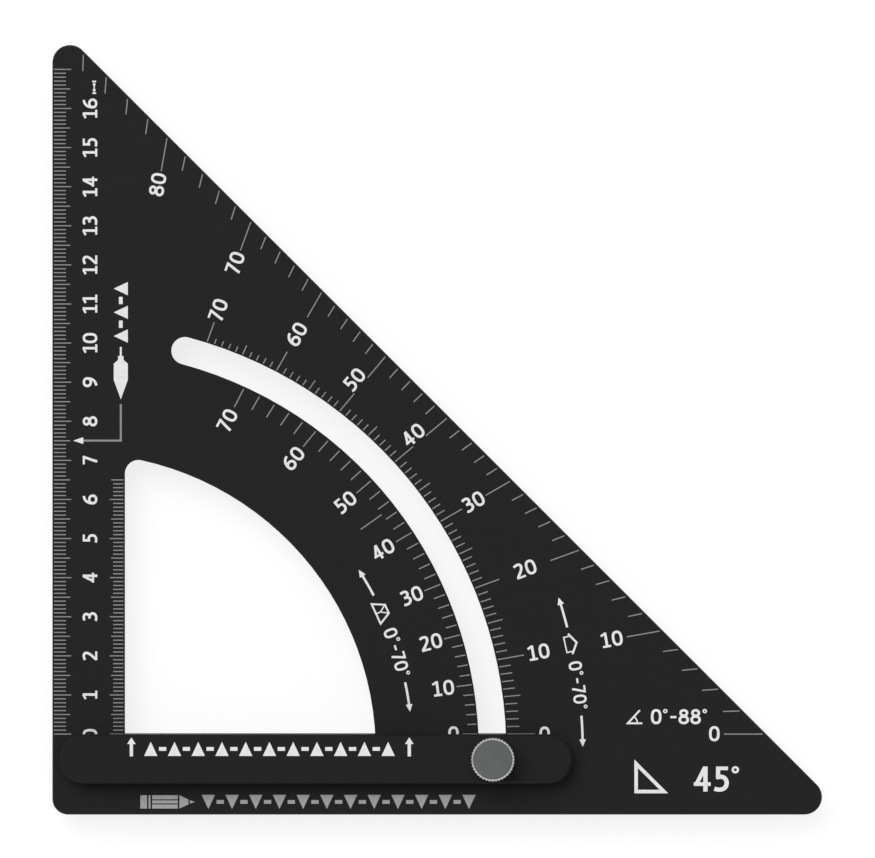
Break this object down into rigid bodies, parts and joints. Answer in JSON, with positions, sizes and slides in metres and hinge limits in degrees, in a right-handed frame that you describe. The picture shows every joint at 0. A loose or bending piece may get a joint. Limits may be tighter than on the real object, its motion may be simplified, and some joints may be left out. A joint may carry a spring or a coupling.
{
  "type": "adjustable set square",
  "caption": "Right-angled triangular marking blade with a window and an arc slot, and a fence that swings about the heel and is clamped at an angle by a knurled thumb screw.",
  "frame": {"origin": "on the fence's pivot axis, in the plane of the rear bar's outer face, which the tool lies on", "axes": "+Z out of the graduated front face, +X along the seat edge, +Y along the plumb edge"},
  "size_m": [0.1968, 0.1968, 0.0263],
  "materials": {
    "blade_anodised": "satin",
    "fence_anodised": "satin",
    "bush_brass": "satin",
    "glide_plastic": "matte",
    "screw_steel": "satin",
    "knob_nickel": "satin"
  },
  "bodies": {
    "blade": {"blade": "blade_anodised"},
    "fence": {"front_fence_bar": "fence_anodised", "rear_fence_bar": "fence_anodised", "pivot_bush": "bush_brass", "pivot_screw": "screw_steel", "front_pivot_washer": "glide_plastic", "rear_pivot_washer": "glide_plastic", "guide_bush": "bush_brass", "front_clamp_washer": "glide_plastic", "rear_clamp_washer": "glide_plastic", "clamp_nut": "screw_steel"},
    "screw_washer": {"knob_washer": "screw_steel"},
    "thumb_screw": {"lock_knob": "knob_nickel", "lock_stud": "screw_steel"}
  },
  "joints": [
    {"name": "fence_pivot", "type": "hinge", "parent": "blade", "child": "fence", "pos_m": [0, 0, 0.0088], "axis": [0, 0, 1], "range_deg": [0, 75.8]},
    {"name": "lock_rise", "type": "slide", "parent": "fence", "child": "screw_washer", "axis": [0, 0, 1], "range_m": [0, 0.001]},
    {"name": "lock_turn", "type": "hinge", "parent": "screw_washer", "child": "thumb_screw", "pos_m": [0.10629, -0.00165, 0.0184], "axis": [0, 0, 1], "range_deg": [0, 450]}
  ],
  "couplings": [
    {"joint": "lock_rise", "follows": "lock_turn", "m_per_rad": 0.00012732}
  ]
}
